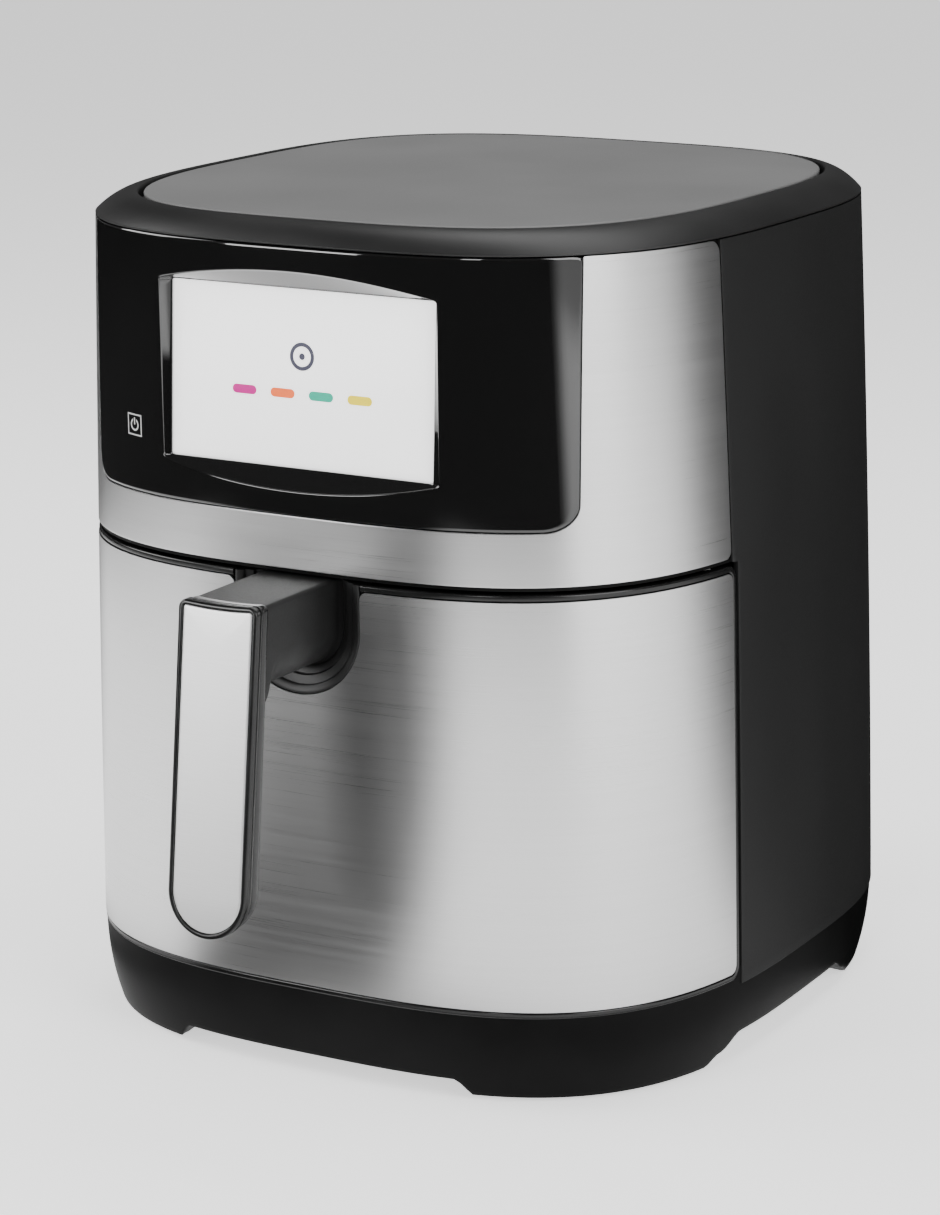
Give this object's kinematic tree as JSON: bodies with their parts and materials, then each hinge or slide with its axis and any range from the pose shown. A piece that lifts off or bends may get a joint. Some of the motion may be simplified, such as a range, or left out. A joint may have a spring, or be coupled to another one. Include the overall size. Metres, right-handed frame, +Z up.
{
  "type": "air fryer",
  "caption": "Countertop air fryer with a touch screen, brushed steel face, pull-out drawer with a steel-faced handle, lift-out crisper plate and a driven fan.",
  "frame": {"origin": "middle of the object's footprint, on the surface it stands on", "axes": "+Z up, +X to the right as seen from the front, -Y to the front, where the handle is"},
  "size_m": [0.2918, 0.381, 0.3404],
  "materials": {
    "black_plastic": "satin moulded",
    "housing_plastic": "fine matte moulded texture",
    "gloss_panel": "high gloss",
    "lid_plastic": "matte fine texture",
    "brushed_steel": "horizontally brushed",
    "plated_sheet": "plain zinc-plated sheet",
    "pan_coating": "non-stick coating",
    "heater_sheath": "oxidised tube",
    "screen_glass": "lit display under clear glass",
    "circuit_board": "solder mask",
    "silicone": "soft matte",
    "white_plastic": "plain moulded"
  },
  "bodies": {
    "housing": {"base_tray": "black_plastic", "fascia_carrier": "black_plastic", "head_floor": "black_plastic", "bay_surround": "black_plastic", "top_ring": "black_plastic", "exhaust_grille": "black_plastic", "air_duct": "black_plastic", "door_switch": "black_plastic", "front_fascia": "brushed_steel", "temperature_probe": "brushed_steel", "drawer_bay": "plated_sheet", "guide_rail_left": "plated_sheet", "guide_rail_right": "plated_sheet", "heat_chamber": "plated_sheet", "heater_guard": "plated_sheet", "heater_clip_1": "plated_sheet", "heater_clip_2": "plated_sheet", "heater_clip_3": "plated_sheet", "motor": "plated_sheet", "motor_bracket": "plated_sheet", "thermal_cutout": "plated_sheet", "base_screw_front_left": "plated_sheet", "base_screw_front_right": "plated_sheet", "base_screw_rear_left": "plated_sheet", "base_screw_rear_right": "plated_sheet", "lcd_module": "plated_sheet", "foot_pad_front_left": "silicone", "foot_pad_front_right": "silicone", "foot_pad_rear_left": "silicone", "foot_pad_rear_right": "silicone", "cord_gland": "silicone", "rear_housing": "housing_plastic", "control_panel": "gloss_panel", "top_cover": "lid_plastic", "touch_glass": "screen_glass", "control_board": "circuit_board", "power_board": "circuit_board", "heater_element": "heater_sheath", "terminal_block": "white_plastic"},
    "drawer": {"drawer_front": "black_plastic", "drawer_skin": "brushed_steel", "drawer_deck": "black_plastic", "handle_body": "black_plastic", "handle_bezel": "black_plastic", "handle_inlay": "brushed_steel", "handle_screw_lower": "plated_sheet", "handle_screw_upper": "plated_sheet", "pan": "pan_coating", "pan_bracket": "plated_sheet"},
    "crisper": {"crisper_plate": "pan_coating", "plate_bumper_front_left": "silicone", "plate_bumper_front_right": "silicone", "plate_bumper_rear_left": "silicone", "plate_bumper_rear_right": "silicone"},
    "fan_rotor": {"fan_shaft": "brushed_steel", "hot_air_fan": "plated_sheet", "fan_nut": "plated_sheet", "cooling_fan": "black_plastic"},
    "plunger": {"switch_plunger": "white_plastic"}
  },
  "joints": [
    {"name": "drawer_slide", "type": "slide", "parent": "housing", "child": "drawer", "axis": [0, -1, 0], "range_m": [0, 0.25]},
    {"name": "plate_lift", "type": "slide", "parent": "drawer", "child": "crisper", "axis": [0, 0, 1], "range_m": [0, 0.12]},
    {"name": "fan_spin", "type": "hinge", "parent": "housing", "child": "fan_rotor", "pos_m": [0, 0.03276, 0.2538], "axis": [0, 0, 1], "continuous": true},
    {"name": "door_switch_press", "type": "slide", "parent": "housing", "child": "plunger", "axis": [0, 1, 0], "range_m": [0, 0.002], "stiffness_N_per_m": 150}
  ]
}
